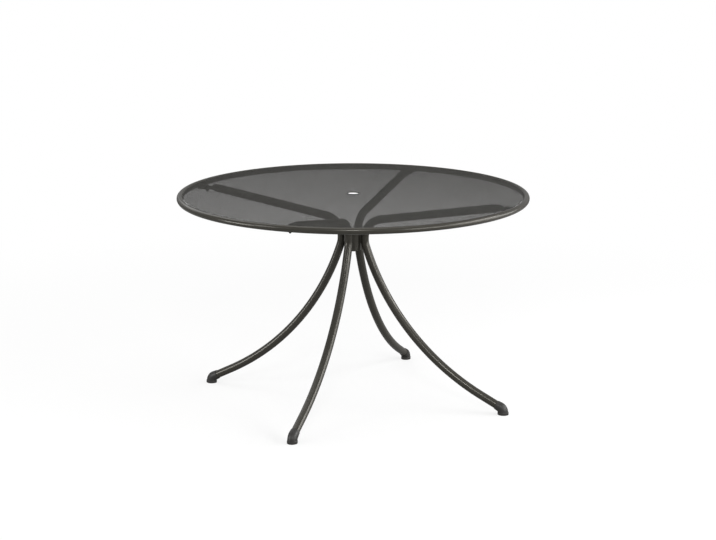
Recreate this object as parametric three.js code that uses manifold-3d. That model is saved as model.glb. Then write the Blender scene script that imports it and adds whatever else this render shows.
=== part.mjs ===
// Round garden table with a hole for an umbrella pole. Four tubes, each bent into an arm, a waist and
// a leg, stand round a pole sleeve and carry a tubular ring filled with expanded metal.
// Millimetres, +Z up, origin on the floor under the middle of the top; the legs lie on +X, +Y, -X and -Y.
import * as THREE from 'three';
import { mergeGeometries, mergeVertices } from 'three/addons/utils/BufferGeometryUtils.js';
import Module from 'manifold-3d';

const wasm = await Module();
wasm.setup();

// Whole table
const topDiameter = 1200;
const topHeight = 729.2; // floor to the crest of the ring
const legCount = 4;
const seatGap = 0.3; // clearance between two pieces that touch
const cutOverrun = 3; // how far a cutter runs past the faces that it opens

// Ring round the top
const ringTube = 22;
const ringSides = 72;
const ringTubeSides = 12;

// Expanded metal sheet, welded inside the ring
const sheetDrop = 1.5; // crest of the ring to the upper face of the sheet
const sheetThickness = 2;
const sheetBorder = 6;
const diamondLength = 122;
const diamondWidth = 70;
const strandWidth = 7;
const sheetCollar = 9; // plain metal left round the umbrella hole
const trimDepth = 14; // how far a diamond reaches inside the border before it is worth cutting

// Eyelet in the umbrella hole
const poleHole = 39;
const eyeletNeck = 1.2;
const eyeletFlange = 2.3; // how far the flange stands out past the neck
const eyeletPlate = 0.8;
const eyeletSides = 24;

// Pole sleeve between the four tubes
const sleeveDiameter = 56.4;
const sleeveWall = 2.5;
const sleeveDrop = 32; // below the crossing of the lines of arm and waist
const sleeveLength = 72;
const sleeveChamfer = 0.8;
const sleeveSides = 24;

// Bent tube: arm under the top, waist at the sleeve, long sweep to the floor
const legTube = 28;
const legWall = 1.5;
const legSides = 12;
const boreSides = 8;
const armEndClearance = 0.4; // end of the arm to the ring, over the seat gap
const kneeSetback = 81; // end of the arm to where the rising arm levels out
const kneeBend = 60;
const armRise = 75.5; // from the crossing of the lines of arm and waist to the arm's level end
const archBend = 70;
const waistLength = 75; // between the crossings with the arm's line and with the sweep's line
const waistBend = 67;
const sweepReachShare = 0.2243; // of the way out from the waist to the foot, where the sweep's lines cross
const sweepHeightShare = 0.388; // of the height of the waist, for the same crossing
const arcStep = THREE.MathUtils.degToRad(10);
const sweepSteps = 10;

// Pressed end of the arm and the joint to the ring
const pressedThickness = 5;
const pressedWidth = 41;
const pressedLength = 45;
const pressedCorner = 6;
const pressRun = 30; // run over which the round tube turns flat
const pressSteps = 4;
const boreEndShare = 0.9; // the bore closes where the tube is pressed this much
const cornerSteps = 4;
const tabThickness = 4;
const tabWidth = 20;
const tabCorner = 8;
const tabCornerSteps = 6;
const tabDrop = 4; // middle of the tab below the middle of the ring's tube
const tabSetback = 2; // inner edge of the tab from the end of the pressed part
const boltSetback = 30; // from the end of the arm
const boltDiameter = 6;
const hexSides = 6;
const hexWidth = 10; // across the flats of the screw's head and of the cap nut
const hexChamfer = 0.7;
const boltHeadHeight = 4;
const boltSides = 12;
const washerDiameter = 12;
const washerThickness = 1.6;
const capNutHeight = 10.4; // hexagon and dome
const capNutHexHeight = 5.4;
const capNutDome = 9.4;
const capNutBore = 7.6; // depth
const capNutSpare = 0.6; // end of the screw to the bottom of the bore
const domeSteps = 3;

// Moulded foot
const footInset = 54.5; // edge of the top to the middle of the foot, seen from above
const footAxisHeight = 19.8; // height of the tube's line over the middle of the foot
const tubeEndSetback = 5; // end of the tube to the middle of the foot, along the tube
const bootCover = 27.5; // mouth of the collar to the middle of the foot, along the tube
const bootCollarWall = 1.9;
const bootElbowWall = 2.8;
const bootLength = 38; // of the pad on the floor, measured along the leg
const bootWidth = 35;
const bootCrease = 1.5; // radius inside the elbow
const bootStepHeight = 8.5;
const bootStep = 0.8;
const bootEdge = 1.2; // rounding of the lower edge
const bootSides = 20;
const bootElbowSteps = 5;

// Places that follow from the sizes above
const ringTubeRadius = ringTube / 2;
const ringRadius = topDiameter / 2 - ringTubeRadius;
const ringLevel = topHeight - ringTubeRadius;
const facetShare = 1 / Math.cos(Math.PI / ringSides); // puts the middle of each facet on the true circle
const sheetTop = topHeight - sheetDrop;
const sheetBottom = sheetTop - sheetThickness;
const sheetRadius = insideRing(sheetBottom);
const eyeletRadius = poleHole / 2 + eyeletNeck;
const sheetHoleRadius = eyeletRadius + seatGap;
const sleeveRadius = sleeveDiameter / 2;
const tubeRadius = legTube / 2;
const waistReach = sleeveRadius + seatGap + tubeRadius;
const tabLevel = ringLevel - tabDrop;
const armEndLevel = tabLevel - tabThickness / 2 - seatGap - pressedThickness / 2;
const armEndReach = insideRing(armEndLevel + pressedThickness / 2) - armEndClearance;
const pressedBottom = armEndLevel - pressedThickness / 2;
const capNutTop = pressedBottom - seatGap - washerThickness - seatGap;
const boltReach = armEndReach - boltSetback;
const footReach = topDiameter / 2 - footInset;
const boltRadius = boltDiameter / 2;
const boreRadius = boltRadius + seatGap;

// Largest radius inside the ring's tube at a level, less the clearance
function insideRing(level) {
  const rise = level - ringLevel;
  return ringRadius - Math.sqrt(ringTubeRadius ** 2 - rise ** 2) - seatGap;
}

// Materials
function finish(color, roughness, metalness) {
  return new THREE.MeshStandardMaterial({ color, roughness, metalness });
}

const powderCoat = () => finish(0x4b4a46, 0.45, 0.3);
const mouldedPlastic = () => finish(0x3a3937, 0.6, 0);
const darkSteel = () => finish(0x2d2c2a, 0.4, 0.8);

// Boolean work: a geometry becomes a solid, and a solid becomes a geometry again
function toSolid(geometry) {
  const bare = geometry.clone();
  bare.deleteAttribute('normal');
  bare.deleteAttribute('uv');
  const merged = mergeVertices(bare);
  const vertProperties = new Float32Array(merged.attributes.position.array);
  const triVerts = new Uint32Array(merged.index.array);
  return new wasm.Manifold(new wasm.Mesh({ numProp: 3, vertProperties, triVerts }));
}

function toGeometry(solid) {
  const mesh = solid.getMesh();
  const geometry = new THREE.BufferGeometry();
  geometry.setAttribute('position', new THREE.BufferAttribute(new Float32Array(mesh.vertProperties), 3));
  geometry.setIndex(new THREE.BufferAttribute(new Uint32Array(mesh.triVerts), 1));
  geometry.computeVertexNormals();
  return geometry;
}

// Regular polygon as a shape or a hole, first corner at an angle from +X
function polygon(PathClass, radius, sides, firstAngle = 0) {
  const path = new PathClass();
  for (let i = 0; i < sides; i += 1) {
    const angle = firstAngle + (i / sides) * 2 * Math.PI;
    const x = radius * Math.cos(angle);
    const y = radius * Math.sin(angle);
    if (i === 0) path.moveTo(x, y);
    else path.lineTo(x, y);
  }
  path.closePath();
  return path;
}

// Flat plate from a shape, lying between two levels
function plate(shape, bottom, thickness) {
  const geometry = new THREE.ExtrudeGeometry(shape, { depth: thickness, bevelEnabled: false });
  geometry.translate(0, 0, bottom);
  return geometry;
}

// Body of revolution round Z from [radius, level] points that close on themselves or on the axis
function revolve(points, sides) {
  const profile = points.map(([radius, level]) => new THREE.Vector2(radius, level));
  const geometry = new THREE.LatheGeometry(profile, sides);
  geometry.rotateX(Math.PI / 2);
  return geometry;
}

// Closed skin over rings of points that follow one another along a path in the plane of one leg
function skin(rings) {
  const sides = rings[0].length;
  const positions = rings.flat(2);
  const triangles = [];
  for (let i = 0; i + 1 < rings.length; i += 1) {
    for (let k = 0; k < sides; k += 1) {
      const next = (k + 1) % sides;
      const here = i * sides;
      const there = here + sides;
      triangles.push(here + k, here + next, there + next);
      triangles.push(here + k, there + next, there + k);
    }
  }
  const last = (rings.length - 1) * sides;
  const startPole = positions.length / 3;
  positions.push(...middle(rings[0]), ...middle(rings.at(-1)));
  for (let k = 0; k < sides; k += 1) {
    const next = (k + 1) % sides;
    triangles.push(startPole, next, k);
    triangles.push(startPole + 1, last + k, last + next);
  }
  const geometry = new THREE.BufferGeometry();
  geometry.setAttribute('position', new THREE.Float32BufferAttribute(positions, 3));
  geometry.setIndex(triangles);
  geometry.computeVertexNormals();
  return geometry;
}

function middle(ring) {
  const sum = ring.reduce((total, point) => total.map((value, axis) => value + point[axis]));
  return sum.map((value) => value / ring.length);
}

// Ring of points round a station of a path; flat = 0 gives an ellipse and flat = 1 a bar with round edges
function section(station, halfWidth, halfThick, sides, flat = 0, pressedHalfWidth = 0, pressedHalfThick = 0) {
  const ring = [];
  for (let k = 0; k < sides; k += 1) {
    const turn = ((k + 0.5) / sides) * 2 * Math.PI;
    const [across, up] = stadium(turn, pressedHalfWidth, pressedHalfThick);
    const y = THREE.MathUtils.lerp(halfWidth * Math.cos(turn), across, flat);
    const rise = THREE.MathUtils.lerp(halfThick * Math.sin(turn), up, flat);
    const x = station.place.x - station.heading.y * rise;
    const z = station.place.y + station.heading.x * rise;
    ring.push([x, y, z]);
  }
  return ring;
}

// Point of a flat bar with round edges, at the turn of the matching point of a circle
function stadium(turn, halfWidth, halfThick) {
  const cosine = Math.cos(turn);
  const sine = Math.sin(turn);
  const side = Math.sign(cosine);
  const straight = halfWidth - halfThick;
  if (Math.abs(sine) >= Math.SQRT1_2) return [straight * cosine * Math.SQRT2, halfThick * Math.sign(sine)];
  const edgeTurn = 2 * Math.asin(sine);
  return [side * (straight + halfThick * Math.cos(edgeTurn)), halfThick * Math.sin(edgeTurn)];
}

// Stations of the arc that rounds the corner between two straight runs
function arcStations(before, corner, after, radius, steps) {
  const into = corner.clone().sub(before).normalize();
  const outOf = after.clone().sub(corner).normalize();
  const turn = Math.acos(THREE.MathUtils.clamp(into.dot(outOf), -1, 1));
  const inward = outOf.clone().addScaledVector(into, -into.dot(outOf)).normalize();
  const start = corner.clone().addScaledVector(into, -radius * Math.tan(turn / 2));
  const count = steps ?? Math.max(2, Math.round(turn / arcStep));
  return Array.from({ length: count + 1 }, (_, i) => {
    const angle = (turn * i) / count;
    const place = start.clone().addScaledVector(into, radius * Math.sin(angle));
    place.addScaledVector(inward, radius * (1 - Math.cos(angle)));
    const heading = into.clone().multiplyScalar(Math.cos(angle)).addScaledVector(inward, Math.sin(angle));
    return { place, heading };
  });
}

// Half the angle through which a path turns at a corner
function halfTurn(before, corner, after) {
  const into = corner.clone().sub(before);
  const outOf = after.clone().sub(corner);
  return Math.abs(into.angleTo(outOf)) / 2;
}

// Corners of the tube's centre line, from the pressed end of the arm to the floor
const armEnd = new THREE.Vector2(armEndReach, armEndLevel);
const knee = new THREE.Vector2(armEndReach - kneeSetback, armEndLevel);
const arch = new THREE.Vector2(waistReach, armEndLevel - armRise);
const waist = new THREE.Vector2(waistReach, arch.y - waistLength);
const sweepReach = THREE.MathUtils.lerp(waistReach, footReach, sweepReachShare);
const sweep = new THREE.Vector2(sweepReach, waist.y * sweepHeightShare);
const footAim = new THREE.Vector2(footReach, footAxisHeight);
const footHeading = footAim.clone().sub(sweep).normalize();
const tubeEnd = beforeFoot(tubeEndSetback);

// Point of the tube's last straight run at a distance before the middle of the foot
function beforeFoot(distance) {
  return footAim.clone().addScaledVector(footHeading, -distance);
}

// Stations of the whole tube: the rounded corners of its pressed end, the run over which it turns
// round, and the bends; the sweep's arc starts where the waist's bend ends and stops before the foot
function tubeStations() {
  const heading = new THREE.Vector2(-1, 0);
  const onArm = (distance) => new THREE.Vector2(armEndReach - distance, armEndLevel);
  const corners = Array.from({ length: cornerSteps + 1 }, (_, i) => {
    const angle = (Math.PI / 2) * (i / cornerSteps);
    const narrowing = pressedCorner * (1 - Math.sin(angle));
    return { place: onArm(pressedCorner * (1 - Math.cos(angle))), heading, flat: 1, narrowing };
  });
  const press = Array.from({ length: pressSteps + 1 }, (_, i) => {
    const share = i / pressSteps;
    const flat = 1 - THREE.MathUtils.smoothstep(share, 0, 1);
    return { place: onArm(pressedLength + share * pressRun), heading, flat, narrowing: 0 };
  });
  const waistTangent = waistBend * Math.tan(halfTurn(arch, waist, sweep));
  const runBefore = waist.distanceTo(sweep) - waistTangent;
  const runAfter = sweep.distanceTo(footAim) - bootCover;
  const sweepTangent = Math.min(runBefore, runAfter);
  const sweepRadius = sweepTangent / Math.tan(halfTurn(waist, sweep, tubeEnd));
  const bends = [
    ...arcStations(armEnd, knee, arch, kneeBend),
    ...arcStations(knee, arch, waist, archBend),
    ...arcStations(arch, waist, sweep, waistBend),
    ...arcStations(waist, sweep, tubeEnd, sweepRadius, sweepSteps).slice(1),
    { place: tubeEnd, heading: footHeading },
  ];
  return [...corners, ...press, ...bends.map((station) => ({ ...station, flat: 0, narrowing: 0 }))];
}

// Skin of the tube along its stations, drawn in by an inset: none for the outside, the wall for the bore
function tubeSkin(stations, inset, sides) {
  return skin(stations.map((station) => {
    const radius = tubeRadius - inset;
    const halfWidth = pressedWidth / 2 - station.narrowing - inset;
    const halfThick = pressedThickness / 2 - inset;
    return section(station, radius, radius, sides, station.flat, halfWidth, halfThick);
  }));
}

// The tube is open at the foot, and its bore closes where the arm is pressed flat
function makeLegTube() {
  const stations = tubeStations();
  const outside = toSolid(tubeSkin(stations, 0, legSides));
  const firstOpen = stations.findIndex((station) => station.flat < boreEndShare);
  const mouth = { ...stations.at(-1), place: beforeFoot(tubeEndSetback - cutOverrun) };
  const bore = toSolid(tubeSkin([...stations.slice(firstOpen), mouth], legWall, boreSides));
  const boltHole = polygon(THREE.Shape, boreRadius, boltSides);
  const drill = plate(boltHole, pressedBottom - cutOverrun, pressedThickness + 2 * cutOverrun);
  drill.translate(boltReach, 0, 0);
  return toGeometry(outside.subtract(bore).subtract(toSolid(drill)));
}

// Tab welded inside the ring, drilled for the bolt
function makeTab() {
  const inner = armEndReach - pressedLength + tabSetback;
  const outer = insideRing(tabLevel + tabThickness / 2);
  const half = tabWidth / 2;
  const shape = new THREE.Shape();
  shape.moveTo(outer, -half);
  shape.lineTo(outer, half);
  shape.lineTo(inner + tabCorner, half);
  shape.absarc(inner + tabCorner, half - tabCorner, tabCorner, Math.PI / 2, Math.PI, false);
  shape.absarc(inner + tabCorner, tabCorner - half, tabCorner, Math.PI, 1.5 * Math.PI, false);
  shape.closePath();
  const hole = new THREE.Path();
  hole.absarc(boltReach, 0, boreRadius, 0, 2 * Math.PI, true);
  shape.holes.push(hole);
  const settings = { depth: tabThickness, bevelEnabled: false, curveSegments: tabCornerSteps };
  const geometry = new THREE.ExtrudeGeometry(shape, settings);
  geometry.translate(0, 0, tabLevel - tabThickness / 2);
  return geometry;
}

// Hexagon whose corners are chamfered at its far face, which is above its seat for side = 1
// and below it for side = -1
function hexBlock(seat, height, side) {
  const far = seat + side * height;
  const cornerRadius = hexWidth / Math.sqrt(3);
  const prism = plate(polygon(THREE.Shape, cornerRadius, hexSides), Math.min(seat, far), height);
  const cone = [
    [0, far],
    [hexWidth / 2, far],
    [cornerRadius, far - side * hexChamfer],
    [cornerRadius, seat],
    [0, seat],
  ];
  if (side > 0) cone.reverse();
  return toSolid(prism).intersect(toSolid(revolve(cone, 2 * boltSides)));
}

// Hexagon screw from above; its shank ends inside the cap nut
function makeBolt() {
  const seat = tabLevel + tabThickness / 2 + seatGap;
  const head = hexBlock(seat, boltHeadHeight, 1);
  const shankBottom = capNutTop - capNutBore + capNutSpare;
  const shankLength = seat + hexChamfer - shankBottom;
  const shank = plate(polygon(THREE.Shape, boltRadius, boltSides), shankBottom, shankLength);
  const geometry = toGeometry(head.add(toSolid(shank)));
  geometry.translate(boltReach, 0, 0);
  return geometry;
}

// Cap nut: a hexagon and a dome below it, with a blind bore from above
function makeNut() {
  const hexBottom = capNutTop - capNutHexHeight;
  const domeHeight = capNutHeight - capNutHexHeight;
  const profile = [];
  for (let i = 0; i <= domeSteps; i += 1) {
    const angle = (Math.PI / 2) * (i / domeSteps);
    profile.push([(capNutDome / 2) * Math.sin(angle), hexBottom - domeHeight * Math.cos(angle)]);
  }
  profile.push([capNutDome / 2, hexBottom + hexChamfer], [0, hexBottom + hexChamfer]);
  const dome = toSolid(revolve(profile, 2 * boltSides));
  const boreShape = polygon(THREE.Shape, boreRadius, boltSides);
  const bore = toSolid(plate(boreShape, capNutTop - capNutBore, capNutBore + cutOverrun));
  const geometry = toGeometry(hexBlock(capNutTop, capNutHexHeight, -1).add(dome).subtract(bore));
  geometry.translate(boltReach, 0, 0);
  return geometry;
}

function makeWasher() {
  const shape = polygon(THREE.Shape, washerDiameter / 2, 2 * boltSides);
  shape.holes.push(polygon(THREE.Path, boreRadius, boltSides));
  const geometry = plate(shape, pressedBottom - seatGap - washerThickness, washerThickness);
  geometry.translate(boltReach, 0, 0);
  return geometry;
}

// Moulded foot: a collar round the tube, an elbow that turns about its inner crease, and a stepped pad
function makeFoot() {
  const halfLength = bootLength / 2;
  const halfWidth = bootWidth / 2;
  const elbowHalf = tubeRadius + bootElbowWall;
  const creaseReach = footReach - halfLength - bootCrease;
  const lift = new THREE.Vector2(-footHeading.y, footHeading.x); // square to the tube, upwards
  const offset = bootCrease + elbowHalf;
  const elbowStart = beforeFoot((footReach - creaseReach - offset * lift.x) / footHeading.x);
  const crease = elbowStart.clone().addScaledVector(lift, -offset);
  const collarHalf = tubeRadius + bootCollarWall;
  const mouthHalf = collarHalf - bootEdge / 2;
  const collar = beforeFoot(bootCover);
  const collarEdge = collar.clone().addScaledVector(footHeading, bootEdge);
  const rings = [
    section({ place: collar, heading: footHeading }, mouthHalf, mouthHalf, bootSides),
    section({ place: collarEdge, heading: footHeading }, collarHalf, collarHalf, bootSides),
  ];
  const down = new THREE.Vector2(0, -1);
  const fullTurn = footHeading.angleTo(down);
  for (let i = 0; i <= bootElbowSteps; i += 1) {
    const share = i / bootElbowSteps;
    const angle = fullTurn * share;
    const heading = footHeading.clone().rotateAround(new THREE.Vector2(), -angle);
    const outward = new THREE.Vector2(-heading.y, heading.x);
    const thick = THREE.MathUtils.lerp(elbowHalf, halfLength - bootStep, share);
    const wide = THREE.MathUtils.lerp(elbowHalf, halfWidth - bootStep, share);
    const place = crease.clone().addScaledVector(outward, bootCrease + thick);
    rings.push(section({ place, heading }, wide, thick, bootSides));
  }
  const pad = [
    [bootStepHeight + bootStep, halfLength - bootStep, halfWidth - bootStep],
    [bootStepHeight, halfLength, halfWidth],
    [bootEdge, halfLength, halfWidth],
    [0, halfLength - bootEdge, halfWidth - bootEdge],
  ];
  for (const [height, thick, wide] of pad) {
    const place = new THREE.Vector2(footReach, height);
    rings.push(section({ place, heading: down }, wide, thick, bootSides));
  }
  const socketHalf = tubeRadius + seatGap;
  const mouth = collar.clone().addScaledVector(footHeading, -cutOverrun);
  const seat = tubeEnd.clone().addScaledVector(footHeading, seatGap);
  const socket = skin([mouth, seat].map((place) => {
    return section({ place, heading: footHeading }, socketHalf, socketHalf, legSides);
  }));
  return toGeometry(toSolid(skin(rings)).subtract(toSolid(socket)));
}

function makeRing() {
  const points = [];
  for (let i = 0; i <= ringTubeSides; i += 1) {
    const angle = (i / ringTubeSides) * 2 * Math.PI;
    const radius = (ringRadius + ringTubeRadius * Math.cos(angle)) * facetShare;
    points.push([radius, ringLevel + ringTubeRadius * Math.sin(angle)]);
  }
  points[ringTubeSides] = points[0];
  const geometry = revolve(points, ringSides);
  geometry.rotateZ(Math.PI / ringSides);
  return geometry;
}

// Sheet: staggered rows of diamonds, cut where they lie between the border and the collar; two strands
// cross in the middle, so that they always hold the collar
function makeSheet() {
  const outline = (radius) => polygon(THREE.Shape, radius * facetShare, ringSides, Math.PI / ringSides);
  const blank = outline(sheetRadius);
  blank.holes.push(polygon(THREE.Path, sheetHoleRadius, eyeletSides));
  const cutBottom = sheetBottom - cutOverrun;
  const cutThickness = sheetThickness + 2 * cutOverrun;
  const openRadius = sheetRadius - sheetBorder;
  const collarRadius = sheetHoleRadius + sheetCollar;
  const zone = outline(openRadius);
  zone.holes.push(polygon(THREE.Path, collarRadius, eyeletSides));
  const open = toSolid(plate(zone, cutBottom, cutThickness));
  const halfLength = diamondLength / 2;
  const halfWidth = diamondWidth / 2;
  const inset = strandWidth / 2 / (halfLength * halfWidth / Math.hypot(halfLength, halfWidth));
  const rows = Math.ceil(openRadius / halfWidth);
  const columns = Math.ceil(openRadius / diamondLength) + 1;
  const diamonds = [];
  for (let row = -rows; row <= rows; row += 1) {
    for (let column = -columns; column <= columns; column += 1) {
      const x = (column + (row % 2 ? 0 : 0.5)) * diamondLength;
      const y = row * halfWidth;
      const nearest = Math.hypot(Math.max(Math.abs(x) - halfLength, 0), Math.max(Math.abs(y) - halfWidth, 0));
      if (nearest > openRadius - trimDepth) continue;
      const shape = new THREE.Shape();
      shape.moveTo(x + halfLength * (1 - inset), y);
      shape.lineTo(x, y + halfWidth * (1 - inset));
      shape.lineTo(x - halfLength * (1 - inset), y);
      shape.lineTo(x, y - halfWidth * (1 - inset));
      shape.closePath();
      diamonds.push(plate(shape, cutBottom, cutThickness));
    }
  }
  const gaps = toSolid(mergeGeometries(diamonds)).intersect(open);
  return toGeometry(toSolid(plate(blank, sheetBottom, sheetThickness)).subtract(gaps));
}

// Eyelet that lines the hole: a neck with a flange above the sheet and a rolled lip below it
function makeEyelet() {
  const bore = poleHole / 2;
  const flange = eyeletRadius + eyeletFlange;
  const upperSeat = sheetTop + seatGap;
  const lowerSeat = sheetBottom - seatGap;
  const crown = upperSeat + eyeletPlate;
  const lip = lowerSeat - eyeletPlate;
  const points = [
    [bore, lip],
    [flange - eyeletPlate / 2, lip],
    [flange, lowerSeat],
    [eyeletRadius, lowerSeat],
    [eyeletRadius, upperSeat],
    [flange, upperSeat],
    [flange - eyeletPlate / 2, crown],
    [bore + eyeletPlate / 2, crown],
    [bore, upperSeat],
    [bore, lip],
  ];
  return revolve(points, eyeletSides);
}

function makeSleeve() {
  const inner = sleeveRadius - sleeveWall;
  const top = arch.y - sleeveDrop;
  const bottom = top - sleeveLength;
  const points = [
    [inner, bottom],
    [sleeveRadius - sleeveChamfer, bottom],
    [sleeveRadius, bottom + sleeveChamfer],
    [sleeveRadius, top - sleeveChamfer],
    [sleeveRadius - sleeveChamfer, top],
    [inner, top],
    [inner, bottom],
  ];
  return revolve(points, sleeveSides);
}

// Assembly
const table = new THREE.Group();

function addPiece(parent, name, geometry, material) {
  const piece = new THREE.Mesh(geometry, material);
  piece.name = name;
  parent.add(piece);
}

addPiece(table, 'rim_ring', makeRing(), powderCoat());
addPiece(table, 'mesh_top', makeSheet(), powderCoat());
addPiece(table, 'umbrella_eyelet', makeEyelet(), powderCoat());
addPiece(table, 'pole_sleeve', makeSleeve(), powderCoat());

const legTubeGeometry = makeLegTube();
const tabGeometry = makeTab();
const boltGeometry = makeBolt();
const washerGeometry = makeWasher();
const nutGeometry = makeNut();
const footGeometry = makeFoot();
for (let i = 0; i < legCount; i += 1) {
  const quarter = new THREE.Group();
  quarter.rotation.z = (i / legCount) * 2 * Math.PI;
  table.add(quarter);
  const number = i + 1;
  addPiece(quarter, `leg_tube_${number}`, legTubeGeometry, powderCoat());
  addPiece(quarter, `rim_tab_${number}`, tabGeometry, powderCoat());
  addPiece(quarter, `arm_bolt_${number}`, boltGeometry, darkSteel());
  addPiece(quarter, `arm_washer_${number}`, washerGeometry, darkSteel());
  addPiece(quarter, `arm_nut_${number}`, nutGeometry, darkSteel());
  addPiece(quarter, `foot_boot_${number}`, footGeometry, mouldedPlastic());
}

export default table;
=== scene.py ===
from math import atan, atan2, cos, hypot, pi, radians, sin, sqrt, tan

import bpy
import numpy as np
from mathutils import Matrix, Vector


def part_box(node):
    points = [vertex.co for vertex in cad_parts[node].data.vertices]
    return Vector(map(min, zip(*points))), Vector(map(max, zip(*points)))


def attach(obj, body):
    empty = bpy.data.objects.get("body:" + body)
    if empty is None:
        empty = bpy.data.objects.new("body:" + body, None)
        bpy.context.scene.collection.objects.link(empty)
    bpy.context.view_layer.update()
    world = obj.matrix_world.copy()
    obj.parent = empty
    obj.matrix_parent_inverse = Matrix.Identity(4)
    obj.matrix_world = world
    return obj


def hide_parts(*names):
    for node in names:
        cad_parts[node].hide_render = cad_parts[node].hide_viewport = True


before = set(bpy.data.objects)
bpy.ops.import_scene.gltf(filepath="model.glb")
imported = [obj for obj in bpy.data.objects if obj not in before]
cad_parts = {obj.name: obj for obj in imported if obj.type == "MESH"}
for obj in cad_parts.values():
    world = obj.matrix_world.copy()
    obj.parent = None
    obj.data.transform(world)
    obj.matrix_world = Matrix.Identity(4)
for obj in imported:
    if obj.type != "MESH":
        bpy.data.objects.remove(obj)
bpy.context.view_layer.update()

mm = 0.001
seatGap = 0.3  # clearance between two pieces that touch, in mm as all the sizes below
legCount = 4


def boxOf(node):
    # Lowest and highest corner of a node of the frame, in mm
    return [np.array(corner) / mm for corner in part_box(node)]


print("frame loaded:", len(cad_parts), "nodes")


# Numbers to surfaces

def meshPiece(name, points, faceSets, material, slot, replaced=(), sharpAngle=None):
    # A piece from its points in mm and from arrays of faces, each with a fixed count of corners.
    # Faces are turned round if the solid's signed volume comes out negative.
    corners = np.concatenate([faces.ravel() for faces in faceSets])
    counts = np.concatenate([np.full(len(faces), faces.shape[1]) for faces in faceSets])
    starts = np.concatenate([[0], np.cumsum(counts)[:-1]])
    volume = 0.0
    for faces in faceSets:
        first = points[faces[:, 0]]
        for k in range(1, faces.shape[1] - 1):
            second, third = points[faces[:, k]], points[faces[:, k + 1]]
            volume += np.einsum("ij,ij->i", first, np.cross(second, third)).sum()
    if volume < 0:
        corners = np.concatenate([faces[:, ::-1].ravel() for faces in faceSets])
    mesh = bpy.data.meshes.new(name)
    mesh.vertices.add(len(points))
    mesh.vertices.foreach_set("co", (points * mm).astype(np.float32).ravel())
    mesh.loops.add(len(corners))
    mesh.loops.foreach_set("vertex_index", corners.astype(np.int32))
    mesh.polygons.add(len(counts))
    mesh.polygons.foreach_set("loop_start", starts.astype(np.int32))
    mesh.polygons.foreach_set("use_smooth", np.full(len(counts), sharpAngle is not None))
    mesh.update(calc_edges=True)
    if sharpAngle is not None:
        mesh.set_sharp_from_angle(angle=radians(sharpAngle))
    mesh.materials.append(material)
    piece = bpy.data.objects.new(name, mesh)
    bpy.context.scene.collection.objects.link(piece)
    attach(piece, "root")
    if replaced:
        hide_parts(*replaced)


def gridFaces(rows, columns, closeRows=False):
    # Four-cornered faces between neighbours of a grid whose columns always close on themselves
    row = np.arange(rows if closeRows else rows - 1)[:, None]
    column = np.arange(columns)[None, :]
    nextRow = (row + 1) % rows
    nextColumn = (column + 1) % columns
    corners = [
        row * columns + column, row * columns + nextColumn,
        nextRow * columns + nextColumn, nextRow * columns + column,
    ]
    whole = [np.broadcast_to(corner, (len(row), columns)) for corner in corners]
    return np.stack(whole, axis=-1).reshape(-1, 4)


def tubeSurface(grid):
    # A closed skin over rings of points: the grid's faces and a fan at each end about the ring's middle
    rows, columns = grid.shape[:2]
    ends = np.stack([grid[0].mean(axis=0), grid[-1].mean(axis=0)])
    points = np.concatenate([grid.reshape(-1, 3), ends])
    k = np.arange(columns)
    after = (k + 1) % columns
    pole = rows * columns
    last = pole - columns
    fans = np.concatenate([
        np.stack([np.full(columns, pole), after, k], axis=1),
        np.stack([np.full(columns, pole + 1), last + k, last + after], axis=1),
    ])
    return points, [gridFaces(rows, columns), fans]


def revolved(profile, sides):
    # A closed profile of (radius, height) carried round the Z axis
    profile = np.asarray(profile, float)
    turn = np.arange(sides) / sides * 2 * pi
    radius, height = profile[:, 0][:, None], profile[:, 1][:, None]
    grid = np.stack([radius * np.cos(turn), radius * np.sin(turn), height + 0 * turn], axis=-1)
    return grid.reshape(-1, 3), [gridFaces(len(profile), sides, closeRows=True)]


def filleted(corners, radius, steps=5):
    # A closed outline of (x, y) corners with each corner rounded: points of the arc that touches both edges
    corners = np.asarray(corners, float)
    before = np.roll(corners, 1, axis=0) - corners
    after = np.roll(corners, -1, axis=0) - corners
    before /= np.linalg.norm(before, axis=1)[:, None]
    after /= np.linalg.norm(after, axis=1)[:, None]
    half = np.arccos(np.clip((before * after).sum(axis=1), -1, 1)) / 2
    radius = np.broadcast_to(radius, len(corners))
    middleWay = before + after
    middleWay /= np.linalg.norm(middleWay, axis=1)[:, None]
    centre = corners + middleWay * (radius / np.sin(half))[:, None]
    start = corners + before * (radius / np.tan(half))[:, None] - centre
    side = np.sign(before[:, 0] * after[:, 1] - before[:, 1] * after[:, 0])
    angle = np.linspace(0, 1, steps)[None, :] * (pi - 2 * half)[:, None] * side[:, None]
    x = start[:, :1] * np.cos(angle) - start[:, 1:] * np.sin(angle)
    y = start[:, :1] * np.sin(angle) + start[:, 1:] * np.cos(angle)
    return (centre[:, None, :] + np.stack([x, y], axis=-1)).reshape(-1, 2)


def quarterTurn(points, number):
    # Points of the +X leg, turned about Z on to leg 1, 2, 3 or 4
    angle = (number - 1) / legCount * 2 * pi
    turned = points.copy()
    turned[..., 0] = points[..., 0] * cos(angle) - points[..., 1] * sin(angle)
    turned[..., 1] = points[..., 0] * sin(angle) + points[..., 1] * cos(angle)
    return turned


def unit(vector):
    return vector / np.linalg.norm(vector)


def smoothStep(share):
    # 0 to 1 with a level start and a level end
    return share ** 2 * (3 - 2 * share)


def bendStations(before, corner, after, radius, step, least=6):
    # Arc that rounds a corner: it starts a tangent length before it and turns at a steady radius
    into, outOf = unit(corner - before), unit(after - corner)
    turn = np.arccos(np.clip(into @ outOf, -1, 1))
    inward = unit(outOf - into * (into @ outOf))
    start = corner - into * radius * tan(turn / 2)
    angle = np.linspace(0, turn, max(least, round(radius * turn / step)))[:, None]
    places = start + into * radius * np.sin(angle) + inward * radius * (1 - np.cos(angle))
    return places, into * np.cos(angle) + inward * np.sin(angle)


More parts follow.
